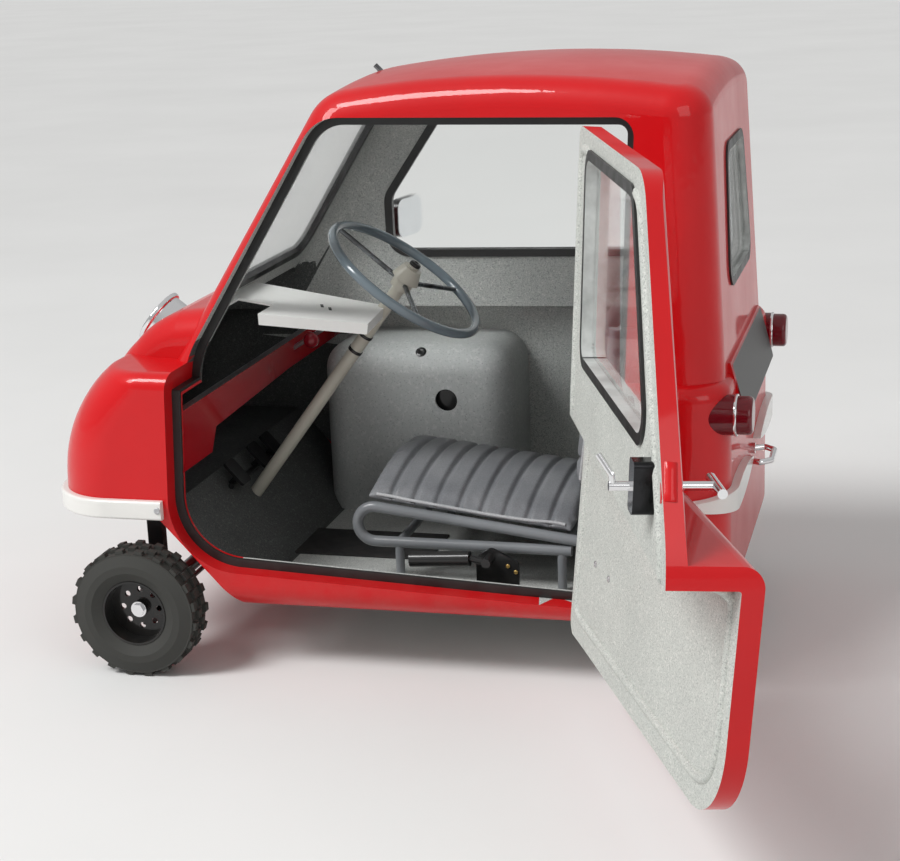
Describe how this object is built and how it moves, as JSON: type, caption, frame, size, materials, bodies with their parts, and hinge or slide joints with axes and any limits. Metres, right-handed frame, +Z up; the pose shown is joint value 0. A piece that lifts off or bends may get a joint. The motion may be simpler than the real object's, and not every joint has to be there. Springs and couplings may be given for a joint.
{
  "type": "three wheeled car",
  "caption": "Tiny closed single-seat car on two steered front wheels and one rear wheel, with a rear-hinged door held open on its left side.",
  "frame": {"origin": "middle of the flat underside of the floor pan, halfway between the body's sides", "axes": "+X forward, +Y to the car's left, +Z up; the floor the car stands on is at Z = -130 mm"},
  "size_m": [1.5055, 1.8231, 1.1628],
  "materials": {
    "red_body": "gloss",
    "red_paint": "gloss",
    "cream_lining": "matte",
    "black_rubber": "satin",
    "tyre_rubber": "matte",
    "black_paint": "gloss",
    "grey_paint": "satin",
    "cream_paint": "gloss",
    "white_gloss": "gloss",
    "clear_glass": "clear",
    "lamp_glass": "clear",
    "red_lamp": "clear",
    "chrome": "polished",
    "grey_vinyl": "satin",
    "bare_steel": "satin",
    "engine_metal": "cast",
    "steering_grey": "gloss",
    "plate_black": "satin"
  },
  "bodies": {
    "body_shell": {"door_opening_seal": "black_rubber", "engine_block": "engine_metal", "engine_cover": "cream_lining", "floor_pan": "cream_lining", "front_axle_beam": "red_paint", "front_bumper_left": "white_gloss", "front_bumper_right": "white_gloss", "front_crossmember": "red_paint", "gear_lever": "bare_steel", "handbrake": "black_paint", "headlamp_bezel": "chrome", "headlamp_lens": "lamp_glass", "hinge_body_lower": "red_paint", "hinge_body_upper": "red_paint", "lifting_handle": "chrome", "lower_body": "red_body", "mirror": "chrome", "number_plate": "plate_black", "pedals": "grey_paint", "rear_bumper_left": "white_gloss", "rear_bumper_right": "white_gloss", "rear_fork": "red_paint", "rear_glass": "clear_glass", "rear_seal": "black_rubber", "rear_wheel_box": "cream_lining", "seat_backrest": "grey_vinyl", "seat_cushion": "grey_vinyl", "seat_frame": "grey_paint", "side_glass": "clear_glass", "side_seal": "black_rubber", "steering_column": "cream_paint", "steering_shelf": "white_gloss", "tail_lamp_left": "red_lamp", "tail_lamp_right": "red_lamp", "upper_body": "red_body", "windscreen": "clear_glass", "windscreen_seal": "black_rubber", "wiper": "black_paint"},
    "door": {"door_panel": "red_body", "door_glass": "clear_glass", "door_window_seal": "black_rubber", "door_latch": "chrome", "door_handle": "chrome", "hinge_door_lower": "red_paint", "hinge_door_upper": "red_paint"},
    "knuckle_left": {"knuckle_left": "black_paint"},
    "knuckle_right": {"knuckle_right": "black_paint"},
    "tie_rod": {"tie_rod": "bare_steel"},
    "wheel_front_left": {"tyre_front_left": "tyre_rubber", "rim_front_left": "black_paint"},
    "wheel_front_right": {"tyre_front_right": "tyre_rubber", "rim_front_right": "black_paint"},
    "wheel_rear": {"tyre_rear": "tyre_rubber", "rim_rear": "black_paint"},
    "steering_wheel": {"steering_wheel": "steering_grey"}
  },
  "joints": [
    {"name": "door_hinge", "type": "hinge", "parent": "body_shell", "child": "door", "pos_m": [-0.486, 0.47, 0.07], "axis": [-0.0399, -0.0479, 0.9981], "range_deg": [-113.4, 4]},
    {"name": "steer_left", "type": "hinge", "parent": "body_shell", "child": "knuckle_left", "pos_m": [0.481, 0.4, 0.001], "axis": [0, 0, 1], "range_deg": [-25, 25]},
    {"name": "steer_right", "type": "hinge", "parent": "body_shell", "child": "knuckle_right", "pos_m": [0.481, -0.4, 0.001], "axis": [0, 0, 1], "range_deg": [-25, 25]},
    {"name": "tie_rod_pivot", "type": "hinge", "parent": "knuckle_left", "child": "tie_rod", "pos_m": [0.436, 0.4, 0.011], "axis": [0, 0, 1], "range_deg": [-25, 25]},
    {"name": "steering_wheel_turn", "type": "hinge", "parent": "body_shell", "child": "steering_wheel", "pos_m": [0.02, 0.05, 0.592], "axis": [-0.6036, 0, 0.7973], "range_deg": [-50, 50]},
    {"name": "wheel_front_left_spin", "type": "hinge", "parent": "knuckle_left", "child": "wheel_front_left", "pos_m": [0.481, 0.435, 0.001], "axis": [0, 1, 0], "continuous": true},
    {"name": "wheel_front_right_spin", "type": "hinge", "parent": "knuckle_right", "child": "wheel_front_right", "pos_m": [0.481, -0.435, 0.001], "axis": [0, 1, 0], "continuous": true},
    {"name": "wheel_rear_spin", "type": "hinge", "parent": "body_shell", "child": "wheel_rear", "pos_m": [-0.519, 0, 0.001], "axis": [0, 1, 0], "continuous": true}
  ],
  "couplings": [
    {"joint": "steer_right", "follows": "steer_left", "ratio": 1},
    {"joint": "tie_rod_pivot", "follows": "steer_left", "ratio": -1},
    {"joint": "steering_wheel_turn", "follows": "steer_left", "ratio": 2}
  ]
}
